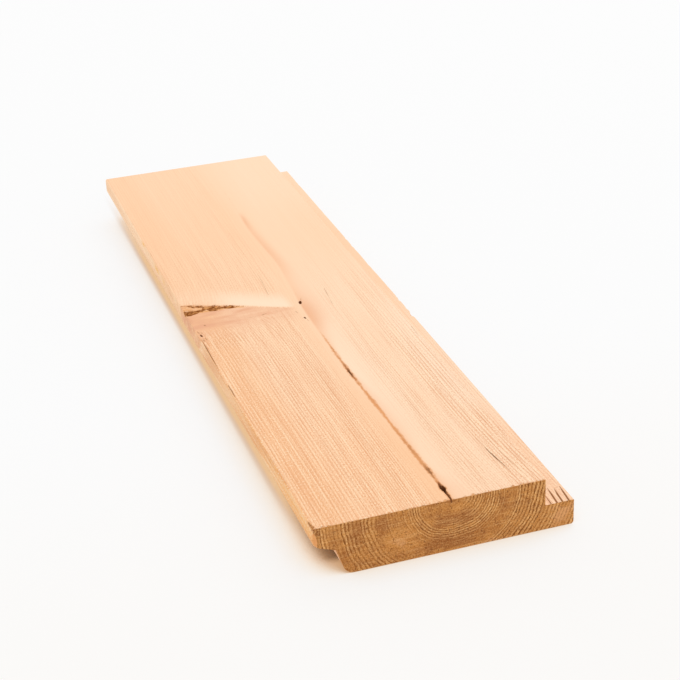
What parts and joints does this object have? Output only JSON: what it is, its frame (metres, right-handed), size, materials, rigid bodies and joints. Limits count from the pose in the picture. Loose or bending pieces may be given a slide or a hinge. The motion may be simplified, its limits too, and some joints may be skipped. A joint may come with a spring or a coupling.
{
  "type": "half-lapped cladding board",
  "caption": "Heat-treated pine cladding board with a half-lap section: a tapered upper lip on the left edge, a square lower lip on the right edge, and sawn ends.",
  "frame": {"origin": "on the back face, under the middle of the board's box", "axes": "+Y along the grain, +Z out of the show face, -X towards the tapered upper lip, +X towards the square lower lip"},
  "size_m": [0.117, 0.42, 0.025],
  "materials": {
    "heat_treated_pine": "planed faces with fine straight grain, sawn darker end grain, unsealed"
  },
  "bodies": {
    "root": {"shiplap_board": "heat_treated_pine"}
  },
  "joints": []
}
